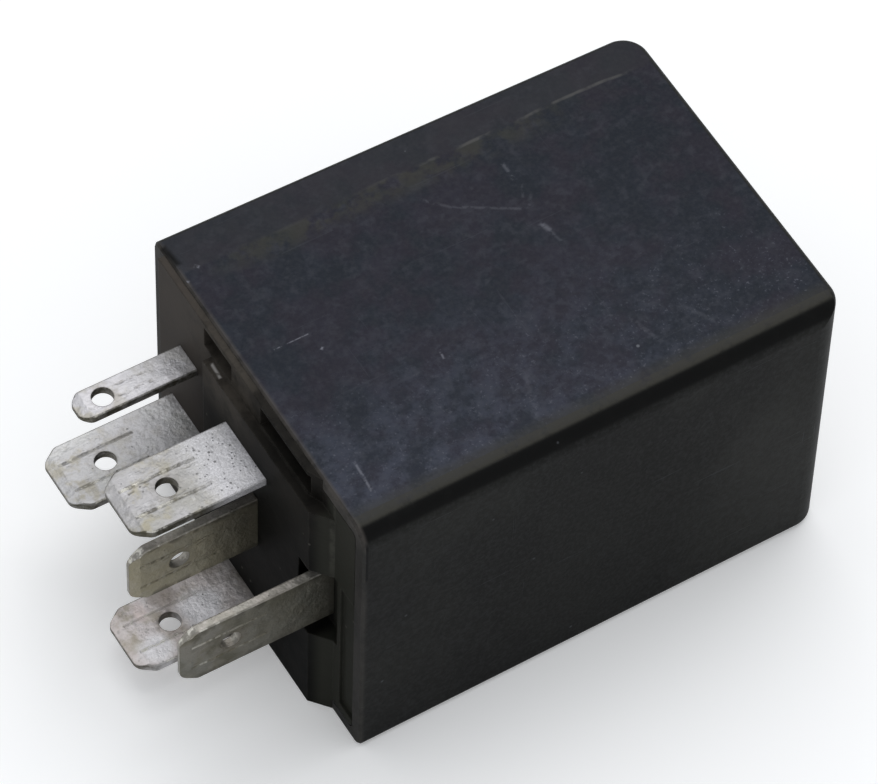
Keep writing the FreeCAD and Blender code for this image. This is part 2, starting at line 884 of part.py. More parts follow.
def make_iron_core():
    # A stud staked behind the yoke's foot, the shaft inside the bobbin and the wide pole head.
    stud_start = yoke_foot_depth - core_stud_reach
    axis = (1, 0, 0)
    stud = rod(core_stud_diameter, (depth(stud_start), magnet_y, magnet_z), axis, bobbin_start - stud_start)
    shaft = rod(core_diameter, (depth(bobbin_start), magnet_y, magnet_z), axis, pole_depth - bobbin_start)
    head = rod(pole_diameter, (depth(pole_depth), magnet_y, magnet_z), axis, pole_thickness)
    core = fuse([stud, shaft, head])
    rim = edges_where(core, lambda p: abs(p.x - depth(pole_face)) < 1e-6)
    return core.makeChamfer(pole_break, rim)


def make_yoke():
    half = yoke_width / 2
    low = magnet_z - half
    high = magnet_z + half
    foot = block(yoke_foot_depth, bobbin_start, arm_low_y, foot_high_y, low, high)
    arm = block(yoke_foot_depth, pole_face + yoke_horn_reach, arm_low_y, arm_high_y, low, high)
    yoke = fuse([foot, arm])
    corner_x = depth(yoke_foot_depth)
    outer = edges_where(yoke, lambda p: abs(p.x - corner_x) < 1e-6 and abs(p.y - arm_low_y) < 1e-6)
    yoke = yoke.makeFillet(yoke_bend_radius, outer)
    ears = []
    for y, z in stake_places():
        outer_z = z + math.copysign(ear_margin, z - magnet_z)
        half = ear_width / 2
        ears.append(block(yoke_foot_depth, bobbin_start, y - half, y + half, magnet_z, outer_z))
    half_lug = lug_width / 2
    lug = block(lug_depth, lug_depth + lug_thickness, spring_axis_y - lug_margin, arm_low_y,
                magnet_z - half_lug, magnet_z + half_lug)
    yoke = fuse([yoke, lug] + ears)
    notch_half = yoke_notch_width / 2
    notch = block(pole_face - yoke_notch_back, pole_face + yoke_horn_reach + 1, arm_low_y - 1, arm_high_y + 1,
                  magnet_z - notch_half, magnet_z + notch_half)
    stud_hole = rod(core_stud_diameter, (depth(yoke_foot_depth) - 1, magnet_y, magnet_z), (1, 0, 0),
                    yoke_thickness + 2)
    stake_holes = [rod(stake_diameter, (depth(yoke_foot_depth) - 1, y, z), (1, 0, 0), yoke_thickness + 2)
                   for y, z in stake_places()]
    hook = rod(hook_hole, (depth(lug_depth) - 1, spring_axis_y, magnet_z), (1, 0, 0), lug_thickness + 2)
    return yoke.cut(Part.makeCompound([notch, stud_hole, hook] + stake_holes))


# The moving armature, its leaf and its contact, drawn closed and then swung open


def swing_open(shape):
    axis_point = Vector(depth(pivot_depth), pivot_y, magnet_z)
    shape.rotate(axis_point, Vector(0, 0, 1), -armature_open_degrees)
    return shape


def make_armature():
    half = yoke_width / 2
    neck = armature_neck / 2
    x = depth(armature_face)
    shoulder_y = arm_high_y + armature_shoulder_gap
    points = ((x, armature_end_y, magnet_z - half), (x, armature_end_y, magnet_z + half),
              (x, shoulder_y, magnet_z + half), (x, shoulder_y, magnet_z + neck),
              (x, armature_tail_y, magnet_z + neck), (x, armature_tail_y, magnet_z - neck),
              (x, shoulder_y, magnet_z - neck), (x, shoulder_y, magnet_z - half))
    armature = plate(points, (armature_thickness, 0, 0))
    free_corners = [edge for edge in edges_along_x(armature)
                    if abs(edge.Vertexes[0].Y - armature_end_y) < 1e-6]
    armature = armature.makeFillet(armature_corner_radius, free_corners)
    through = armature_thickness + 2
    cuts = [rod(rivet_diameter, (x - 1, y, magnet_z), (1, 0, 0), through) for y in rivet_places]
    cuts.append(rod(hook_hole, (x - 1, spring_axis_y, magnet_z), (1, 0, 0), through))
    return swing_open(armature.cut(Part.makeCompound(cuts)))


def make_contact_spring():
    half = leaf_width / 2
    tip_half = leaf_tip_width / 2
    x = depth(leaf_face)
    points = ((x, leaf_start_y, magnet_z - half), (x, armature_end_y, magnet_z - half),
              (x, leaf_end_y, magnet_z - tip_half), (x, leaf_end_y, magnet_z + tip_half),
              (x, armature_end_y, magnet_z + half), (x, leaf_start_y, magnet_z + half))
    leaf = plate(points, (leaf_thickness, 0, 0))
    cuts = [rod(rivet_diameter, (x - 1, y, magnet_z), (1, 0, 0), 2) for y in rivet_places]
    cuts.append(rod(contact_shank, (x - 1, contact_y, magnet_z), (1, 0, 0), 2))
    return swing_open(leaf.cut(Part.makeCompound(cuts)))


def domed_head(diameter, height, at_depth, y, side):
    # A low contact or rivet head standing out from at_depth along side, with a broken rim.
    head = rod(diameter, (depth(at_depth), y, magnet_z), (side, 0, 0), height)
    top = depth(at_depth) + side * height
    rim = edges_where(head, lambda p: abs(p.x - top) < 1e-6)
    return head.makeChamfer(height * head_break, rim)


def make_leaf_rivets():
    rivets = []
    outside = leaf_face + leaf_thickness
    for y in rivet_places:
        shank = rod(rivet_diameter, (depth(armature_face), y, magnet_z), (1, 0, 0), outside - armature_face)
        rivets.append(fuse([shank, domed_head(rivet_head, rivet_head_height, outside, y, 1)]))
    return swing_open(Part.makeCompound(rivets))


def make_moving_contact():
    outside = leaf_face + leaf_thickness
    shank = rod(contact_shank, (depth(leaf_face), contact_y, magnet_z), (1, 0, 0), leaf_thickness)
    inner = domed_head(contact_head, contact_height, leaf_face, contact_y, -1)
    outer = domed_head(contact_head, contact_height, outside, contact_y, 1)
    return swing_open(fuse([shank, inner, outer]))


def fixed_contact(plate_depth, side):
    # A contact rivet in a carrier's plate: side 1 faces +X and -1 faces -X.
    front = plate_depth + strip_thickness if side > 0 else plate_depth
    shank = rod(contact_shank, (depth(plate_depth), contact_y, magnet_z), (1, 0, 0), strip_thickness)
    head = domed_head(contact_head, contact_height, front, contact_y, side)
    back = plate_depth if side > 0 else plate_depth + strip_thickness
    tail = rod(contact_tail, (depth(back), contact_y, magnet_z), (-side, 0, 0), contact_tail_height)
    return fuse([shank, head, tail])


def make_make_contact():
    return fixed_contact(make_plate_depth(), 1)


def make_break_contact():
    return fixed_contact(break_plate_depth(), -1)


def make_return_spring():
    # A tension spring between the yoke's lug and the armature's tail. Its turns are a many-sided helix.
    start = lug_depth + lug_thickness + spring_hook_run
    tail_shift = math.radians(armature_open_degrees) * (pivot_y - spring_axis_y)
    end = armature_face - tail_shift - spring_hook_run
    radius = (spring_diameter - spring_wire) / 2
    steps = spring_turns * spring_steps
    route = []
    for step in range(steps + 1):
        turn = 2 * math.pi * step / spring_steps
        along = depth(start + (end - start) * step / steps)
        route.append((along, spring_axis_y + radius * math.sin(turn), magnet_z - radius * math.cos(turn)))
    lug_end = depth(lug_depth - spring_hook_reach)
    tail_end = depth(armature_face - tail_shift + armature_thickness + spring_hook_reach)
    first = [(lug_end, spring_axis_y, magnet_z - radius), (lug_end, spring_axis_y, magnet_z),
             (depth(start) - spring_lead_in, spring_axis_y, magnet_z)]
    last = [(depth(end) + spring_lead_in, spring_axis_y, magnet_z), (tail_end, spring_axis_y, magnet_z),
            (tail_end, spring_axis_y, magnet_z - radius)]
    return wire_run(spring_wire, first + route + last, 4)


makers = {
    "cover": make_cover,
    "base": make_base,
    "narrow_blade": make_narrow_blade,
    "back_blade": make_back_blade,
    "top_blade": make_top_blade,
    "centre_blade": make_centre_blade,
    "bottom_blade": make_bottom_blade,
    "front_blade": make_front_blade,
    "circuit_board": make_circuit_board,
    "coil_bobbin": make_coil_bobbin,
    "coil_winding": make_coil_winding,
    "iron_core": make_iron_core,
    "yoke": make_yoke,
    "armature": make_armature,
    "return_spring": make_return_spring,
    "contact_spring": make_contact_spring,
    "leaf_rivets": make_leaf_rivets,
    "moving_contact": make_moving_contact,
    "make_contact": make_make_contact,
    "break_contact": make_break_contact,
    "coil_pins": make_coil_pins,
    "timing_capacitor": make_timing_capacitor,
    "control_chip": make_control_chip,
    "transistor": make_transistor,
    "resistors": make_resistors,
    "diode": make_diode,
    "film_capacitor": make_film_capacitor,
    "solder_joints": make_solder_joints,
}

os.makedirs("parts", exist_ok=True)
for name, maker in makers.items():
    shape = maker()
    shape.exportStep(os.path.join("parts", name + ".step"))
    state = "valid" if shape.isValid() else "BROKEN"
    print(name, len(shape.Solids), "solids", round(shape.Volume, 2), "mm3", state)
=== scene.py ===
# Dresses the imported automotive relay: worn black mouldings, tinned brass blades and its hidden works.
import math

import bmesh
import bpy
from mathutils import Matrix, Vector


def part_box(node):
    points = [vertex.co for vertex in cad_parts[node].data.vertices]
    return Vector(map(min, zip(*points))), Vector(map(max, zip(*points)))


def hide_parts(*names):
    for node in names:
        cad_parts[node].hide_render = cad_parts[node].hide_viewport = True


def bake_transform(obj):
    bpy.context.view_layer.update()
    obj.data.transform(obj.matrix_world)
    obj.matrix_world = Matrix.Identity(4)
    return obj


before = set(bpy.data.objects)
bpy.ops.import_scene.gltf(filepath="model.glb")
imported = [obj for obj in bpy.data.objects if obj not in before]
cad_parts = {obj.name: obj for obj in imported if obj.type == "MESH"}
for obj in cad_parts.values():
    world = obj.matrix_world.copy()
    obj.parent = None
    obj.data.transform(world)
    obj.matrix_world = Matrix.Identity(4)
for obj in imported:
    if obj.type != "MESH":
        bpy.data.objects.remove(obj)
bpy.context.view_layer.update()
mm = 0.001

# Places on the relay. The blades' tips are at low x, the cover's closed end at high x.
# side_draft is how far a side leans in for each metre of the length.
rim_x = -15.25 * mm
shadow_line_x = -14.97 * mm
side_y = 16.0 * mm
side_draft = 0.0116
seam_y = 11.9 * mm
strip_edge_y = -11.65 * mm
ledge_z = 26.0 * mm


# Shader helpers


class Value:
    """One socket of a shader; arithmetic on it adds Math nodes."""

    def __init__(self, finish, socket):
        self.finish = finish
        self.socket = socket

    def __add__(self, other):
        return self.finish.maths("ADD", self, other)

    def __radd__(self, other):
        return self.finish.maths("ADD", other, self)

    def __sub__(self, other):
        return self.finish.maths("SUBTRACT", self, other)

    def __rsub__(self, other):
        return self.finish.maths("SUBTRACT", other, self)

    def __mul__(self, other):
        return self.finish.maths("MULTIPLY", self, other)

    def __rmul__(self, other):
        return self.finish.maths("MULTIPLY", other, self)

    def __pow__(self, other):
        return self.finish.maths("POWER", self, other)

    def __abs__(self):
        return self.finish.maths("ABSOLUTE", self, 0)


class Finish:
    """A material under construction: its colour so far, and the pattern makers that the relay's surfaces share."""

    def __init__(self, name):
        self.material = bpy.data.materials.new(name)
        self.material.use_nodes = True
        self.tree = self.material.node_tree
        self.tree.nodes.clear()
        self.place = self.node("ShaderNodeTexCoord", {}, {}, "Object")
        self.x, self.y, self.z = self.parts(self.place)
        self.color = None

    def node(self, kind, settings, sockets, output=0):
        made = self.tree.nodes.new(kind)
        for name, value in settings.items():
            setattr(made, name, value)
        for name, value in sockets.items():
            if isinstance(value, Value):
                self.tree.links.new(value.socket, made.inputs[name])
            elif value is not None:
                made.inputs[name].default_value = value
        return Value(self, made.outputs[output])

    def maths(self, operation, a, b):
        return self.node("ShaderNodeMath", {"operation": operation}, {0: a, 1: b})

    def larger(self, a, b):
        return self.maths("MAXIMUM", a, b)

    def smaller(self, a, b):
        return self.maths("MINIMUM", a, b)

    def parts(self, vector):
        split = self.tree.nodes.new("ShaderNodeSeparateXYZ")
        self.tree.links.new(vector.socket, split.inputs[0])
        return [Value(self, output) for output in split.outputs]

    def normals(self):
        return self.parts(self.node("ShaderNodeNewGeometry", {}, {}, "Normal"))

    def ramp(self, value, low, high, low_value=0.0, high_value=1.0):
        """Goes smoothly from low_value to high_value as the value goes from low to high."""
        return self.node("ShaderNodeMapRange", {"interpolation_type": "SMOOTHSTEP"},
                         {"Value": value, "From Min": low, "From Max": high, "To Min": low_value, "To Max": high_value})

    def blend(self, factor, first, second):
        return self.node("ShaderNodeMix", {"data_type": "RGBA", "blend_type": "MIX"},
                         {"Factor": factor, 6: first, 7: second}, 2)

    def ground(self, pattern, low, high, first, second):
        """The colour to start from: the first where the pattern is low, the second where it is high."""
        self.color = self.blend(self.ramp(pattern, low, high), first, second)

    def paint(self, factor, color):
        """Lays one more colour over the colour so far."""
        self.color = self.blend(factor, self.color, color)

    def stretched(self, x, y, z):
        return self.node("ShaderNodeVectorMath", {"operation": "MULTIPLY"}, {0: self.place, 1: (x, y, z)})

    def noise(self, scale, detail=3.0, rough=0.55, vector=None):
        return self.node("ShaderNodeTexNoise", {}, {"Vector": vector or self.place, "Scale": scale,
                                                    "Detail": detail, "Roughness": rough})

    def blotches(self, scale, low, high):
        """Soft patches with bare ground between them."""
        return self.ramp(self.noise(scale, 4.0, 0.6), low, high)

    def specks(self, scale, size, share):
        """Small round dots, on a share of the cells of a grid of this scale."""
        cell = self.tree.nodes.new("ShaderNodeTexVoronoi")
        cell.inputs["Scale"].default_value = scale
        self.tree.links.new(self.place.socket, cell.inputs["Vector"])
        near = self.ramp(Value(self, cell.outputs["Distance"]), size * 0.5, size, 1, 0)
        chosen = self.parts(Value(self, cell.outputs["Color"]))[0]
        return near * self.ramp(chosen, share * 0.8, share, 1, 0)

    def scratches(self, x, y, z, share):
        """Thin lines drawn out along the axis with the smallest number."""
        lines = self.noise(1.0, 2.0, 0.5, self.stretched(x, y, z))
        return self.ramp(lines, share, share + 0.06)

    def stroke(self, across, along, start, end, width):
        """One mark on the plane of two coordinates, from start to end, all in mm."""
        run = Vector(end) - Vector(start)
        length = run.length * mm
        step = run.normalized()
        from_start = across - start[0] * mm, along - start[1] * mm
        ahead = from_start[0] * step.x + from_start[1] * step.y
        aside = abs(from_start[1] * step.x - from_start[0] * step.y)
        past = self.larger(0 - ahead, ahead - length)
        return self.ramp(self.larger(aside, past), 0.0, width * 0.6 * mm, 1, 0)

    def soften(self, radius):
        """The surface's normal with sharp edges rounded off, and 1 along those edges and 0 on faces."""
        soft = self.node("ShaderNodeBevel", {"samples": 3}, {"Radius": radius})
        true = self.node("ShaderNodeNewGeometry", {}, {}, "True Normal")
        turn = self.node("ShaderNodeVectorMath", {"operation": "DOT_PRODUCT"}, {0: soft, 1: true}, "Value")
        return soft, self.ramp(turn, 0.8, 0.995, 1, 0)

    def bump(self, height, distance, strength=0.8, normal=None):
        return self.node("ShaderNodeBump", {}, {"Height": height, "Distance": distance, "Strength": strength,
                                                "Normal": normal})

    def surface(self, **sockets):
        """Ends the material in one Principled shader of the colour so far: roughness=..., normal=... and so on."""
        named = {name.replace("_", " ").title().replace("Ior", "IOR"): value for name, value in sockets.items()}
        shader = self.node("ShaderNodeBsdfPrincipled", {}, {"Base Color": self.color, **named})
        end = self.tree.nodes.new("ShaderNodeOutputMaterial")
        self.tree.links.new(shader.socket, end.inputs["Surface"])
        return self.material


def distance(x, y):
    return (x ** 2 + y ** 2) ** 0.5


def rgb(red, green, blue):
    return (red, green, blue, 1.0)


# The cover


def cover_plastic():
    """Matt black moulding, bluish and dusty on top, with a painted dark reflection along its front top edge."""
    finish = Finish("cover_plastic")
    nx, ny, nz = finish.normals()
    up = finish.ramp(nz, 0.9, 0.99)
    cloud = finish.noise(70.0, 4.0, 0.6)
    mottle = finish.noise(420.0, 5.0, 0.65)
    grain = finish.noise(2600.0, 4.0, 0.7)
    paint_sides(finish, cloud)
    dust = paint_top(finish, up, mottle, grain)
    paint_seam(finish, up, cloud, mottle)
    flatness = finish.larger(finish.larger(abs(nx), abs(ny)), abs(nz))
    rounding = finish.ramp(flatness, 0.72, 0.9995, 1, 0)
    # Painted dark reflection: the rounded edges are painted a dark grey.
    finish.paint(rounding * (0.05 + 0.5 * mottle), rgb(0.024, 0.024, 0.02))
    paint_front_edge(finish, up, ny, nz, mottle, grain)
    paint_rim(finish, ny, mottle)
    fibres = finish.larger(finish.scratches(90, 2600, 2600, 0.7), finish.scratches(2300, 120, 120, 0.71))
    finish.paint(fibres * 0.12, rgb(0.08, 0.085, 0.1))
    marks = top_marks(finish) * up
    finish.paint(marks, rgb(0.24, 0.245, 0.28))
    paint_crack(finish, mottle)
    dots = finish.specks(520.0, 0.09, 0.16)
    finish.paint(dots * (0.2 + 0.35 * up), rgb(0.2, 0.21, 0.23))
    rough = 0.56 + 0.2 * dust + 0.12 * (mottle - 0.5) - 0.1 * rounding
    height = grain * 0.7 + mottle * 0.8 - fibres * 0.5 - marks * 0.6
    return finish.surface(roughness=rough, specular_ior_level=0.12, normal=finish.bump(height, 0.03 * mm))


def paint_sides(finish, cloud):
    """Plain black, a little paler at the foot of the closed end and duller in the middle of the length."""
    finish.ground(cloud, 0.35, 0.65, rgb(0.0075, 0.0075, 0.0068), rgb(0.0127, 0.0129, 0.011))
    finish.paint(finish.blotches(160.0, 0.5, 0.75) * 0.5, rgb(0.022, 0.0225, 0.0195))
    pale_end = finish.ramp(finish.x, 12 * mm, 27 * mm) * finish.ramp(finish.z, 24 * mm, 12 * mm)
    finish.paint(pale_end * 0.5, rgb(0.034, 0.034, 0.031))
    dull_middle = finish.ramp(finish.x, -8 * mm, 2 * mm) * finish.ramp(finish.x, 18 * mm, 11 * mm)
    finish.paint(dull_middle * 0.5, rgb(0.005, 0.005, 0.0045))


def paint_top(finish, up, mottle, grain):
    """Blue and purple blacks under dust, painted paler towards the front and the rim. Returns the dust's share."""
    x, y = finish.x, finish.y
    hue = finish.noise(230.0, 3.0, 0.6)
    patches = finish.noise(1050.0, 3.0, 0.6)
    blue_black, purple_black = rgb(0.012, 0.0155, 0.0225), rgb(0.0185, 0.0168, 0.0255)
    finish.paint(up, finish.blend(finish.ramp(hue, 0.4, 0.6), blue_black, purple_black))
    to_front = finish.ramp(y, 4 * mm, -13.5 * mm)
    to_rim = finish.ramp(x, 22 * mm, -13 * mm)
    patch = finish.ramp(mottle + 0.25 * (grain - 0.5) + 0.5 * (patches - 0.5), 0.36, 0.68)
    from_wiped = distance(x + 10.5 * mm, y + 2.5 * mm)
    wiped = finish.ramp(from_wiped, 5.5 * mm, 1.5 * mm) * 0.6
    wiped = finish.larger(wiped, finish.ramp(x, 14 * mm, 25 * mm) * 0.5)
    dust = up * (0.12 + 0.6 * to_front * (0.35 + 0.65 * to_rim)) * (0.3 + 0.9 * patch) * (1 - wiped)
    finish.paint(dust, rgb(0.06, 0.066, 0.09))
    finish.paint(finish.ramp(grain, 0.42, 0.66) * (0.2 - 0.02 * up), rgb(0.05, 0.051, 0.055))
    finish.paint(finish.ramp(patches, 0.5, 0.72) * 0.28 * up, rgb(0.056, 0.058, 0.07))
    finish.paint(finish.ramp(grain, 0.48, 0.3) * (0.35 - 0.2 * up), rgb(0.006, 0.006, 0.008))
    flecks = finish.ramp(finish.noise(4300.0, 2.0, 0.6), 0.6, 0.72) * up * finish.ramp(y, 2 * mm, -12 * mm)
    finish.paint(flecks * (0.12 + 0.5 * patch), rgb(0.12, 0.125, 0.15))
    return dust


def paint_seam(finish, up, cloud, mottle):
    """The pale line along the top near its back edge, with the brown stain that lies in front of it."""
    x = finish.x
    line = finish.y - seam_y + 1.2 * mm * (cloud - 0.5)
    stain = finish.ramp(line, -2.6 * mm, -0.6 * mm) * finish.ramp(line, 0.5 * mm, 0.0, 0, 1)
    stain = stain * finish.ramp(x, 26 * mm, 11 * mm) * finish.ramp(x, -15 * mm, -8 * mm)
    stain = stain * finish.ramp(mottle + 0.5 * (finish.noise(900.0) - 0.5), 0.36, 0.6)
    finish.paint(stain * up * 0.55, rgb(0.048, 0.047, 0.034))
    beyond = finish.ramp(line, 0.0, 0.3 * mm) * finish.ramp(mottle, 0.3, 0.6, 0.5, 1)
    finish.paint(beyond * up * 0.5, rgb(0.034, 0.033, 0.0355))
    ridge = finish.ramp(abs(line - 0.2 * mm), 0.22 * mm, 0.04 * mm) * finish.ramp(finish.noise(420.0), 0.42, 0.6)
    ridge = ridge * finish.ramp(x, 0.0, 9 * mm, 0.2, 1)
    finish.paint(ridge * up * 0.6, rgb(0.1, 0.098, 0.094))


def paint_front_edge(finish, up, ny, nz, mottle, grain):
    """A painted olive highlight on the lip where the top rolls over at the front, and a painted dark reflection on the
    rounded edge under it.
    """
    from_side = side_y - side_draft * (finish.x - rim_x) + finish.y
    shoulder = finish.ramp(nz, 0.9995, 0.996) * finish.ramp(nz, 0.84, 0.93) * finish.ramp(ny, -0.02, -0.06)
    # Painted highlight: the lip is lightened to an olive grey.
    lip_highlight = finish.larger(finish.ramp(from_side, 3.1 * mm, 2 * mm) * up * 0.6, shoulder)
    finish.paint(lip_highlight * finish.ramp(mottle + 0.3 * grain, 0.36, 0.7, 0.35, 1) * 0.85, rgb(0.045, 0.043, 0.035))
    # Painted dark reflection: the rounded edge under the lip is darkened almost to black.
    front_edge_dark_reflection = finish.ramp(nz, 0.93, 0.84) * finish.ramp(nz, 0.3, 0.52) * finish.ramp(ny, -0.15, -0.35)
    finish.paint(front_edge_dark_reflection * finish.ramp(mottle, 0.3, 0.5, 0.86, 0.98), rgb(0.0016, 0.0016, 0.0014))


def paint_rim(finish, ny, mottle):
    """The rim of the open end, rubbed and given a painted highlight that is strongest along the top, and a short
    painted shadow line beside it on the front.
    """
    x, z = finish.x, finish.z
    # The rim is rubbed, and is also painted lighter as a highlight, most along the top.
    rim = finish.ramp(x, -14.7 * mm, -15.1 * mm) * finish.ramp(mottle, 0.32, 0.55, 0.3, 1)
    finish.paint(rim * finish.ramp(z, 26 * mm, 28.5 * mm, 0.3, 0.75), rgb(0.078, 0.07, 0.063))
    # Painted shadow: a thin dark line on the front face beside the rim.
    front_shadow_line = finish.ramp(abs(x - shadow_line_x), 0.2 * mm, 0.08 * mm) * finish.ramp(ny, -0.7, -0.9)
    front_shadow_line = front_shadow_line * finish.ramp(z, 22.6 * mm, 23.4 * mm) * finish.ramp(z, 28 * mm, 27.2 * mm)
    finish.paint(front_shadow_line, rgb(0.001, 0.001, 0.001))


def top_marks(finish):
    """The scratches and chips on the top: start and end in mm, width in mm, strength."""
    strokes = (
        ((-15.0, 11.15), (-14.95, 11.1), 0.3, 0.5), ((-13.7, 12.1), (-13.6, 12.0), 0.34, 0.7),
        ((-12.4, 2.3), (-9.5, 2.3), 0.16, 0.5), ((-12.4, -9.7), (-12.6, -12.5), 0.3, 0.42),
        ((-9.25, 0.6), (-9.2, 0.65), 0.3, 0.7), ((-1.6, -4.0), (-1.7, -4.7), 0.26, 0.45),
        ((3.0, -9.0), (1.5, -13.0), 0.9, 0.08), ((4.7, 8.9), (6.1, 7.4), 0.4, 0.12),
        ((6.1, 7.4), (10.7, 4.6), 0.36, 0.13), ((11.4, 2.4), (11.6, 1.8), 0.62, 0.32),
        ((11.6, 1.8), (11.8, 0.5), 0.4, 0.12), ((11.8, 8.9), (11.8, 7.4), 0.44, 0.22),
        ((12.0, 6.5), (11.5, 5.5), 0.3, 0.1), ((12.1, 5.3), (11.4, 4.4), 0.4, 0.09),
        ((12.6, -8.5), (13.4, -11.5), 0.5, 0.1), ((16.5, -9.4), (18.0, -11.8), 0.7, 0.09),
    )
    found = 0.0
    for start, end, width, strength in strokes:
        found = finish.larger(found, finish.stroke(finish.x, finish.y, start, end, width) * strength)
    return found * finish.ramp(finish.noise(2200.0), 0.38, 0.55)


def paint_crack(finish, mottle):
    """The dark crack at the back corner of the rim, and the gap in the rim's face beside it."""
    crack = finish.stroke(finish.x, finish.y, (-15.0, 14.7), (-14.85, 13.1), 0.8)
    crack = crack * finish.ramp(finish.z, 27.8 * mm, 28.4 * mm)
    gap = finish.stroke(finish.y, finish.z, (13.4, 28.2), (12.9, 27.75), 0.9)
    gap = gap * finish.ramp(finish.x, -15 * mm, -15.2 * mm)
    finish.paint(finish.larger(crack, gap) * finish.ramp(mottle, 0.3, 0.5, 0.75, 1), rgb(0.0015, 0.0015, 0.0015))


# The base


def base_plastic():
    """Black moulding with a brown film and painted light that make the top and back paler than the shaded middle, a
    grey front strip with a painted highlight along its edge, and one painted glint.
    """
    finish = Finish("base_plastic")
    x, y, z = finish.x, finish.y, finish.z
    cloud = finish.noise(120.0, 4.0, 0.6)
    mottle = finish.noise(700.0, 5.0, 0.65)
    grain = finish.noise(3000.0, 3.0, 0.7)
    soft, edges = finish.soften(0.2 * mm)
    finish.ground(cloud, 0.35, 0.65, rgb(0.0026, 0.0026, 0.0023), rgb(0.0062, 0.006, 0.0053))
    # A brown film, and painted light: the top is paler while the middle, in the blades' shade, is left dark.
    film_and_painted_light = finish.ramp(mottle, 0.3, 0.6, 0.4, 1) * finish.ramp(z, 20.5 * mm, 25.5 * mm)
    film_and_painted_light = film_and_painted_light * finish.ramp(y, -3 * mm, 2 * mm, 0.2, 1)
    finish.paint(film_and_painted_light * 0.8, rgb(0.068, 0.059, 0.049))
    # The back is paler brown, partly its own colour and partly painted light where it catches the light.
    back = finish.ramp(y, 4 * mm, 12 * mm)
    finish.paint(back * (0.55 + 0.5 * mottle), rgb(0.06, 0.051, 0.044))
    strip = finish.ramp(y, -10.2 * mm, -11.2 * mm)
    finish.paint(strip * (0.55 + 0.3 * mottle), rgb(0.031, 0.0315, 0.0245))
    # Painted highlight: a pale line along the edge of the front strip.
    strip_edge_highlight = finish.ramp(abs(y - strip_edge_y), 0.26 * mm, 0.08 * mm) * finish.ramp(z, 17.5 * mm, 21 * mm)
    finish.paint(strip_edge_highlight * finish.ramp(mottle, 0.35, 0.6) * 0.5, rgb(0.08, 0.078, 0.064))
    finish.paint(edges * finish.ramp(mottle, 0.3, 0.6) * 0.45, rgb(0.075, 0.07, 0.06))
    finish.paint(finish.specks(600.0, 0.1, 0.2) * 0.35, rgb(0.16, 0.15, 0.13))
    ledge = finish.ramp(abs(z - ledge_z), 0.3 * mm, 0.1 * mm)
    # Painted glint: a pale dash along the ledge's top edge.
    ledge_glint = finish.stroke(x, y, (-16.15, 5.3), (-16.22, 4.0), 0.36) * ledge
    ledge_glint = ledge_glint * finish.ramp(finish.noise(1700.0), 0.4, 0.55, 0.15, 1)
    finish.paint(ledge_glint * 0.75, rgb(0.45, 0.43, 0.41))
    rough = 0.6 + 0.15 * (mottle - 0.5) - 0.1 * edges
    normal = finish.bump(grain * 0.6 + mottle * 0.8, 0.03 * mm, normal=soft)
    return finish.surface(roughness=rough, specular_ior_level=0.06, normal=normal)


# The blades


class Blade:
    """Where a blade lies, in mm: its middle line, which way it stands, its hole and its stamped lines."""

    def __init__(self, middle, upright=False, hole_x=-23.45, lines=1.35, line_start=-27.0, line_end=-20.4):
        self.middle = middle
        self.upright = upright
        self.hole_x = hole_x
        self.lines = lines
        self.line_start = line_start
        self.line_end = line_end


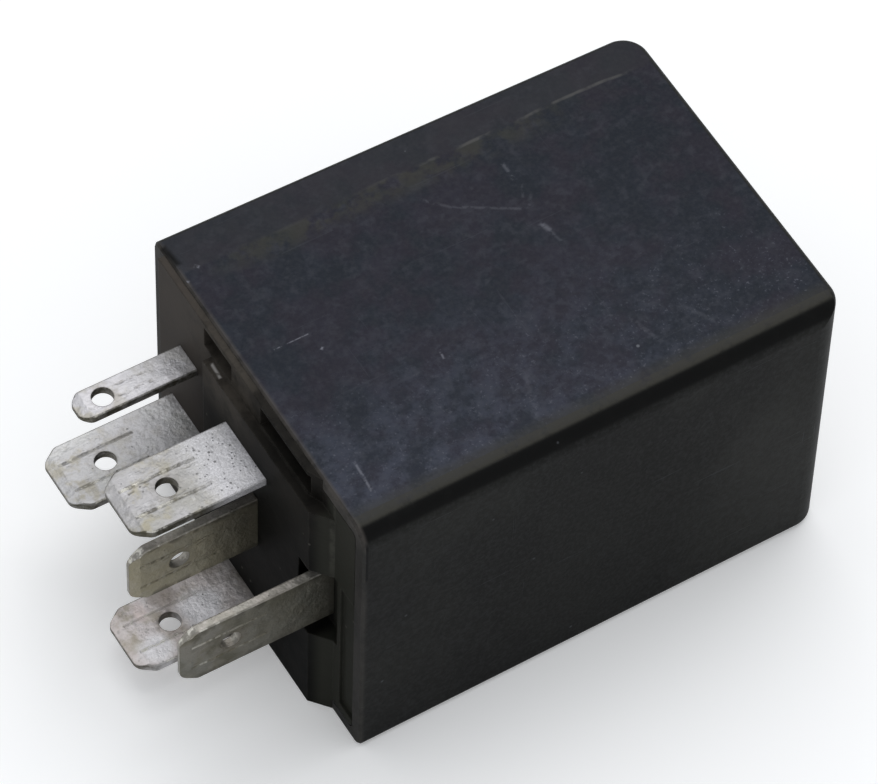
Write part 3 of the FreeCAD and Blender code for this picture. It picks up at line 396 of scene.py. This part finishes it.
def tinned(name, blade, tint, warm, tarnish_and_shade=None, pits=0.0, blob=0.0, root_shade_strength=0.2, metallic=0.72, root_shade_from=-22.4,
           stamped=0.6, painted_light_spots=()):
    """Dull tin over brass: mottled, rubbed to brass near the tip and pitted towards the base; painted shade darkens it
    towards the root, on shaded faces and in the stamped lines, and painted glints, highlights and reflections lighten
    it.
    """
    finish = Finish(name)
    ny, nz = finish.normals()[1:]
    x, y = finish.x, finish.y
    across = (finish.z if blade.upright else y) - blade.middle * mm
    broad = finish.ramp(abs(ny) if blade.upright else abs(nz), 0.6, 0.9)
    at_tip = finish.ramp(x, -18.5 * mm, -27.5 * mm)
    near_root = finish.ramp(x, -22.2 * mm, -19.6 * mm)
    cloud = finish.noise(260.0, 4.0, 0.6)
    dents = finish.noise(620.0, 3.0, 0.6)
    mottle = finish.noise(1500.0, 5.0, 0.7)
    grain = finish.noise(5200.0, 3.0, 0.7)
    rolled = finish.noise(1.0, 3.0, 0.6, finish.stretched(260, 5200, 5200))
    soft, edges = finish.soften(0.14 * mm)

    finish.ground(cloud, 0.35, 0.65, tint, warm)
    finish.paint(finish.ramp(mottle, 0.52, 0.72) * 0.35, rgb(0.78, 0.77, 0.78))
    finish.paint(finish.ramp(mottle, 0.46, 0.3) * 0.45, rgb(0.25, 0.24, 0.22))
    finish.paint(finish.ramp(rolled, 0.55, 0.8) * 0.3, rgb(0.3, 0.285, 0.25))
    brass = finish.blotches(520.0, 0.48, 0.62) * (0.25 + 0.75 * at_tip)
    finish.paint(brass * 0.5, rgb(0.37, 0.325, 0.2))
    # On flat blades the narrow faces are painted dark as painted shade.
    side = rgb(0.3, 0.285, 0.25) if blade.upright else rgb(0.06, 0.053, 0.03)
    finish.paint((1 - broad) * finish.ramp(mottle, 0.4, 0.62, 0.95, 0.6), side)
    if tarnish_and_shade:
        # Tarnish and painted shade: the broad faces of the upright blades are darkened.
        film_and_painted_light = broad * (0.84 + 0.12 * finish.ramp(cloud, 0.4, 0.6)) * (1 - 0.15 * at_tip * finish.ramp(dents, 0.4, 0.6))
        finish.paint(film_and_painted_light, tarnish_and_shade)
        rim = finish.ramp(abs(across), 2.3 * mm, 3 * mm) * broad * finish.blotches(900.0, 0.4, 0.6)
        finish.paint(rim * 0.6, rgb(0.045, 0.042, 0.03))

    # Painted shade in the stamped lines.
    stamped_line_shade = stamped_lines(finish, blade, across) * broad
    stamped_line_shade = stamped_line_shade * finish.ramp(finish.noise(1300.0, 3.0), 0.42, 0.62, 0.0, stamped)
    finish.paint(stamped_line_shade, rgb(0.15, 0.13, 0.09))
    from_hole = distance(x - blade.hole_x * mm, across)
    ring = finish.ramp(from_hole, 1.8 * mm, 0.9 * mm) * finish.ramp(mottle, 0.35, 0.65)
    finish.paint(ring * (0.25 + blob), rgb(0.15, 0.115, 0.085))
    # Painted highlights, shade and reflections at listed spots.
    for middle, size, strength, color in painted_light_spots:
        from_middle = distance(x - middle[0] * mm, y - middle[1] * mm) + 1.4 * mm * (dents - 0.5)
        finish.paint(finish.ramp(from_middle, size * mm, size * 0.4 * mm) * strength, color)

    pitting = paint_root(finish, pits, near_root)
    # Painted glints on the bevels near the tip.
    tip_glints = finish.ramp(abs(nz), 0.98, 0.9) * finish.ramp(abs(nz), 0.3, 0.6) * at_tip
    finish.paint(tip_glints * finish.blotches(1500.0, 0.48, 0.6) * 0.7, rgb(0.95, 0.92, 0.82))
    finish.paint(edges * (0.35 + 0.6 * mottle), rgb(0.12, 0.105, 0.055))
    # Painted shade: darker towards the root, where the blades above and the body shade it.
    root_shade = finish.ramp(x + 2 * mm * (cloud - 0.5), root_shade_from * mm, (root_shade_from + 4.6) * mm)
    finish.paint(root_shade * root_shade_strength, rgb(0.03, 0.028, 0.02))

    metal = metallic - 0.3 * pitting - 0.4 * pits * near_root
    rough = 0.45 + 0.2 * (mottle - 0.5) + 0.15 * pitting + 0.25 * (cloud - 0.5)
    height = grain * 0.2 + mottle * 0.6 + dents * 1.7 + rolled * 0.2 - pitting * 0.5 - stamped_line_shade * 0.8
    return finish.surface(metallic=metal, roughness=rough, normal=finish.bump(height, 0.11 * mm, 0.9, soft))


def stamped_lines(finish, blade, across):
    """The pair of lines along a blade on both sides of its hole, doubled on a wide blade."""
    from_middle = abs(across + 0.4 * mm * (finish.noise(700.0, 2.0) - 0.5))
    lines = finish.ramp(abs(from_middle - blade.lines * mm), 0.2 * mm, 0.06 * mm)
    if blade.lines > 1:
        inner_lines = finish.ramp(abs(from_middle - (blade.lines - 0.4) * mm), 0.16 * mm, 0.04 * mm)
        lines = finish.larger(lines, inner_lines * 0.6)
    lines = lines * finish.ramp(finish.x, (blade.line_end + 0.5) * mm, blade.line_end * mm)
    return lines * finish.ramp(finish.x, blade.line_start * mm, (blade.line_start + 0.4) * mm)


def paint_root(finish, pits, near_root):
    """Pale sandy tin with dark pits near a blade's root, and stray pits elsewhere. Returns the pits' share."""
    sandy = finish.noise(7000.0, 2.0, 0.7)
    finish.paint(near_root * pits * 0.6, rgb(0.72, 0.71, 0.735))
    finish.paint(near_root * finish.ramp(sandy, 0.45, 0.62) * pits * 0.45, rgb(0.9, 0.89, 0.92))
    ragged = finish.ramp(sandy, 0.34, 0.5)
    dark_pits = finish.larger(finish.specks(2300.0, 0.3, 0.22), finish.specks(4200.0, 0.36, 0.34)) * ragged
    dark_pits = dark_pits * near_root * finish.blotches(620.0, 0.4, 0.56)
    pitting = finish.smaller(dark_pits * pits + finish.specks(1900.0, 0.2, 0.16) * ragged * 0.6, 1.0)
    finish.paint(pitting * 0.7, rgb(0.07, 0.066, 0.06))
    return pitting


# The works inside


def metal_part(name, base, stain, roughness, streaks=(600, 4000, 4000), edge=rgb(0.72, 0.72, 0.7)):
    """Plated or drawn metal inside the relay: streaked, faintly stained, brighter at its edges."""
    finish = Finish(name)
    cloud = finish.noise(300.0, 4.0, 0.6)
    mottle = finish.noise(1600.0, 4.0, 0.6)
    drawn = finish.noise(1.0, 3.0, 0.55, finish.stretched(*streaks))
    soft, edges = finish.soften(0.1 * mm)
    finish.ground(cloud, 0.35, 0.7, base, stain)
    finish.paint(finish.ramp(drawn, 0.5, 0.8) * 0.3, rgb(0.3, 0.3, 0.3))
    finish.paint(edges * 0.6, edge)
    rough = roughness + 0.2 * (mottle - 0.5) - 0.1 * edges
    normal = finish.bump(drawn * 0.6 + mottle * 0.5, 0.01 * mm, normal=soft)
    return finish.surface(metallic=1.0, roughness=rough, normal=normal)


def moulded_part(name, dark, light, roughness, edge, gloss=0.4):
    """Moulded or dipped resin: flow clouds, fine grain, paler rubbed edges and specks of dust."""
    finish = Finish(name)
    cloud = finish.noise(240.0, 4.0, 0.6)
    grain = finish.noise(3600.0, 3.0, 0.7)
    soft, edges = finish.soften(0.12 * mm)
    finish.ground(cloud, 0.35, 0.68, dark, light)
    finish.paint(edges * 0.45, edge)
    finish.paint(finish.specks(900.0, 0.12, 0.2) * 0.3, rgb(0.5, 0.49, 0.46))
    rough = roughness + 0.2 * (grain - 0.5) + 0.1 * (cloud - 0.5)
    normal = finish.bump(grain * 0.6 + cloud * 0.6, 0.01 * mm, normal=soft)
    return finish.surface(roughness=rough, specular_ior_level=gloss, normal=normal)


def coil_wire():
    """Turns of enamelled copper wire, with the wander of a machine-wound layer."""
    finish = Finish("coil_wire")
    pitch = 0.16 * mm
    wander = 0.06 * mm * finish.noise(500.0)
    turn = finish.maths("SINE", (finish.x + wander) * (2 * math.pi / pitch), 0)
    cloud = finish.noise(350.0, 4.0, 0.6)
    finish.ground(cloud, 0.3, 0.7, rgb(0.33, 0.1, 0.035), rgb(0.5, 0.19, 0.07))
    # Painted shade in the grooves between the turns.
    finish.paint(finish.ramp(turn, 0.0, -1.0) * 0.6, rgb(0.1, 0.028, 0.012))
    rough = 0.32 + 0.15 * (cloud - 0.5)
    return finish.surface(metallic=0.7, roughness=rough, normal=finish.bump(turn, 0.04 * mm, 1.0), coat_weight=0.4)


def board_laminate():
    """Bare paper laminate, fibrous, darker at its sawn edges, with flux stains round the joints."""
    finish = Finish("board_laminate")
    fibre = finish.noise(1.0, 4.0, 0.65, finish.stretched(900, 900, 3400))
    cloud = finish.noise(180.0, 4.0, 0.6)
    finish.ground(fibre, 0.35, 0.7, rgb(0.25, 0.15, 0.055), rgb(0.38, 0.26, 0.11))
    finish.paint(finish.blotches(320.0, 0.52, 0.7) * 0.5, rgb(0.16, 0.08, 0.025))
    sawn = finish.ramp(abs(finish.normals()[1]), 0.9, 0.4)
    finish.paint(sawn * 0.6, rgb(0.15, 0.1, 0.05))
    rough = 0.5 + 0.25 * (fibre - 0.5) + 0.2 * sawn
    return finish.surface(roughness=rough, normal=finish.bump(fibre + 0.4 * cloud, 0.02 * mm))


def resistor_lacquer():
    """Tan lacquer with coloured rings, placed from each resistor's middle and height in mm, on tinned leads."""
    finish = Finish("resistor_lacquer")
    x, y, z = finish.x, finish.y, finish.z
    cloud = finish.noise(600.0, 4.0, 0.6)
    finish.ground(cloud, 0.35, 0.65, rgb(0.5, 0.36, 0.19), rgb(0.62, 0.47, 0.27))
    rings = ((-1.9, rgb(0.2, 0.07, 0.02)), (-0.9, rgb(0.02, 0.02, 0.02)), (0.1, rgb(0.55, 0.12, 0.01)),
             (1.9, rgb(0.45, 0.3, 0.08)))
    for middle, height in ((-7.65, 24.6), (3.75, 24.6), (0.75, 21.0), (7.35, 5.9)):
        here = finish.ramp(abs(z - height * mm), 1.6 * mm, 1.4 * mm)
        for offset, color in rings:
            ring = finish.ramp(abs(x - (middle + offset) * mm), 0.28 * mm, 0.22 * mm)
            finish.paint(ring * here, color)
    leads = finish.ramp(y, 4.9 * mm, 5.1 * mm) * finish.ramp(y, 5.9 * mm, 5.5 * mm, 0, 1)
    finish.paint(leads, rgb(0.5, 0.49, 0.46))
    rough = 0.32 + 0.2 * (cloud - 0.5)
    return finish.surface(roughness=rough, coat_weight=0.3, normal=finish.bump(cloud, 0.02 * mm))


def can_sleeve():
    """Dark shrunk sleeve with its pale stripe, over a can whose bare end shows."""
    finish = Finish("can_sleeve")
    low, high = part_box("timing_capacitor")
    middle_z = (low[2] + high[2]) / 2
    cloud = finish.noise(300.0, 4.0, 0.6)
    fine = finish.noise(2400.0, 3.0, 0.6)
    soft, edges = finish.soften(0.12 * mm)
    finish.ground(cloud, 0.35, 0.65, rgb(0.012, 0.016, 0.045), rgb(0.02, 0.026, 0.07))
    stripe = finish.ramp(abs(finish.z - middle_z - 1.2 * mm), 0.9 * mm, 0.7 * mm)
    finish.paint(stripe * 0.8, rgb(0.35, 0.36, 0.38))
    bare = finish.ramp(finish.x, high[0] - 0.3 * mm, high[0] - 0.1 * mm)
    finish.paint(bare, rgb(0.6, 0.6, 0.6))
    finish.paint(edges * 0.4, rgb(0.12, 0.13, 0.16))
    rough = 0.3 + 0.2 * (fine - 0.5)
    normal = finish.bump(cloud + 0.3 * fine, 0.03 * mm, normal=soft)
    return finish.surface(roughness=rough, coat_weight=0.2, normal=normal)


# Each piece gets its finish


def dress(finish, *names):
    for name in names:
        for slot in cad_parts[name].material_slots:
            slot.material = finish


dress(cover_plastic(), "cover")
dress(base_plastic(), "base")

narrow = Blade(9.7, hole_x=-23.35, lines=0.55, line_start=-22.4, line_end=-19.0)
back = Blade(9.4)
flat = Blade(-0.6)
centre = Blade(14.8, upright=True)
front = Blade(14.0, upright=True)
cream = rgb(0.48, 0.47, 0.44)
pink = rgb(0.86, 0.78, 0.73)
white = rgb(1.0, 0.98, 1.0)
olive = rgb(0.4, 0.36, 0.25)
dark_olive = rgb(0.095, 0.09, 0.06)
# Painted light on the bottom blade: two white highlights, a brown painted shade near the hole and a pink painted
# reflection.
bottom_painted_light = (((-25.6, -2.4), 2.0, 0.9, white), ((-20.7, -0.8), 2.6, 0.95, white),
               ((-22.9, 1.8), 1.7, 0.6, rgb(0.24, 0.19, 0.145)), ((-25.1, 1.2), 1.1, 0.75, rgb(0.9, 0.78, 0.75)))
dress(tinned("narrow_tin", narrow, rgb(0.62, 0.605, 0.625), rgb(0.54, 0.53, 0.54), root_shade_strength=0.1, stamped=0.4),
      "narrow_blade")
dress(tinned("back_tin", back, rgb(0.54, 0.535, 0.525), rgb(0.55, 0.54, 0.55), root_shade_strength=0.0, stamped=0.3), "back_blade")
dress(tinned("top_tin", flat, rgb(0.41, 0.4, 0.405), rgb(0.375, 0.365, 0.34), pits=1.0, root_shade_strength=0.0), "top_blade")
dress(tinned("centre_tin", centre, cream, pink, tarnish_and_shade=olive, root_shade_strength=0.6), "centre_blade")
dress(tinned("bottom_tin", flat, rgb(0.84, 0.78, 0.77), rgb(0.66, 0.59, 0.55), blob=0.3, root_shade_strength=0.85, metallic=0.55,
             root_shade_from=-20.0, stamped=0.0, painted_light_spots=bottom_painted_light), "bottom_blade")
dress(tinned("front_tin", front, cream, pink, tarnish_and_shade=dark_olive, root_shade_strength=0.1), "front_blade")

dress(board_laminate(), "circuit_board")
dress(coil_wire(), "coil_winding")
dress(resistor_lacquer(), "resistors")
dress(can_sleeve(), "timing_capacitor")
ivory = moulded_part("bobbin_resin", rgb(0.62, 0.59, 0.5), rgb(0.74, 0.72, 0.65), 0.5, rgb(0.84, 0.82, 0.76))
black_resin = moulded_part("black_resin", rgb(0.018, 0.018, 0.019), rgb(0.03, 0.03, 0.031), 0.45, rgb(0.08, 0.08, 0.08))
red_resin = moulded_part("red_resin", rgb(0.3, 0.05, 0.02), rgb(0.42, 0.09, 0.04), 0.25, rgb(0.55, 0.2, 0.12), 0.5)
dress(ivory, "coil_bobbin")
dress(black_resin, "control_chip", "transistor", "diode")
dress(red_resin, "film_capacitor")

zinc = metal_part("zinc_plate", rgb(0.56, 0.56, 0.53), rgb(0.5, 0.49, 0.44), 0.42)
core_plate = metal_part("core_plate", rgb(0.6, 0.6, 0.59), rgb(0.5, 0.5, 0.49), 0.36, (4000, 4000, 4000))
spring_wire = metal_part("spring_wire", rgb(0.48, 0.48, 0.48), rgb(0.4, 0.39, 0.37), 0.35)
leaf_copper = metal_part("leaf_copper", rgb(0.74, 0.42, 0.26), rgb(0.6, 0.32, 0.2), 0.3, (4000, 500, 4000),
                         rgb(0.9, 0.62, 0.45))
rivet_plate = metal_part("rivet_plate", rgb(0.62, 0.6, 0.52), rgb(0.55, 0.52, 0.42), 0.4)
silver = metal_part("silver", rgb(0.8, 0.79, 0.76), rgb(0.66, 0.62, 0.55), 0.28, (3000, 3000, 3000),
                    rgb(0.9, 0.9, 0.88))
pin_tin = metal_part("pin_tin", rgb(0.68, 0.67, 0.65), rgb(0.6, 0.58, 0.54), 0.4)
set_solder = metal_part("set_solder", rgb(0.64, 0.64, 0.65), rgb(0.56, 0.55, 0.52), 0.3, (2500, 2500, 2500))
dress(zinc, "yoke", "armature")
dress(core_plate, "iron_core")
dress(spring_wire, "return_spring")
dress(leaf_copper, "contact_spring")
dress(rivet_plate, "leaf_rivets")
dress(silver, "moving_contact", "make_contact", "break_contact")
dress(pin_tin, "coil_pins")
dress(set_solder, "solder_joints")


# The spring, which has one hook on the yoke and one on the armature


def hook_spring(finish):
    """A copy of the return spring with its doubled points merged and its finish set, shown in place of the imported
    one.
    """
    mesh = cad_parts["return_spring"].data.copy()
    merged = bmesh.new()
    merged.from_mesh(mesh)
    bmesh.ops.remove_doubles(merged, verts=merged.verts, dist=0.001 * mm)
    merged.to_mesh(mesh)
    merged.free()
    mesh.materials.clear()
    mesh.materials.append(finish)
    spring = bpy.data.objects.new("hooked_spring", mesh)
    bpy.context.scene.collection.objects.link(spring)
    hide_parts("return_spring")
    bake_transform(spring)


hook_spring(spring_wire)


# Floor, light and camera


def make_floor():
    """A pale floor that looks white to the camera and reflects plain grey."""
    mesh = bpy.data.meshes.new("floor")
    sheet = bmesh.new()
    bmesh.ops.create_grid(sheet, x_segments=1, y_segments=1, size=1.5)
    sheet.to_mesh(mesh)
    sheet.free()
    floor = bpy.data.objects.new("floor", mesh)
    bpy.context.scene.collection.objects.link(floor)
    finish = Finish("pale_floor")
    seen = finish.node("ShaderNodeLightPath", {}, {}, "Is Camera Ray")
    finish.color = finish.blend(seen, rgb(0.8, 0.8, 0.8), rgb(1.0, 1.0, 1.0))
    lift = finish.blend(seen, rgb(0.0, 0.0, 0.0), rgb(1.0, 0.99, 0.97))
    mesh.materials.append(finish.surface(roughness=0.9, specular_ior_level=0.0, emission_color=lift,
                                         emission_strength=0.17))


def make_sky():
    world = bpy.data.worlds.new("sky")
    bpy.context.scene.world = world
    world.use_nodes = True
    back = world.node_tree.nodes["Background"]
    back.inputs["Color"].default_value = rgb(0.93, 0.96, 1.0)
    back.inputs["Strength"].default_value = 0.6


def make_lamp():
    """One broad lamp above and behind, turned to the middle of the relay."""
    light = bpy.data.lights.new("ceiling", "AREA")
    light.shape = "RECTANGLE"
    light.size = light.size_y = 0.9
    light.energy = 4.6
    lamp = bpy.data.objects.new("ceiling", light)
    lamp.location = (0.25, 0.25, 1.0)
    aim = Vector((0, 0, 0.015)) - lamp.location
    lamp.rotation_euler = aim.to_track_quat("-Z", "Y").to_euler()
    bpy.context.scene.collection.objects.link(lamp)


def make_camera():
    """The camera, with the directions, place and lens that were fitted to the photograph's edges."""
    camera = bpy.data.cameras.new("camera")
    camera.sensor_width = 36.0
    camera.lens = 243.13
    camera.clip_start = 0.02
    right = Vector((0.85923, -0.51105, 0.02339))
    up = Vector((0.40327, 0.70473, 0.58372))
    back = Vector((-0.31479, -0.49212, 0.81162))
    stand = Matrix((right, up, back)).transposed().to_4x4()
    stand.translation = Vector((-0.14412, -0.22691, 0.39121))
    eye = bpy.data.objects.new("camera", camera)
    eye.matrix_world = stand
    bpy.context.scene.collection.objects.link(eye)
    bpy.context.scene.camera = eye


make_floor()
make_sky()
make_lamp()
make_camera()
bpy.context.scene.view_settings.view_transform = "Standard"
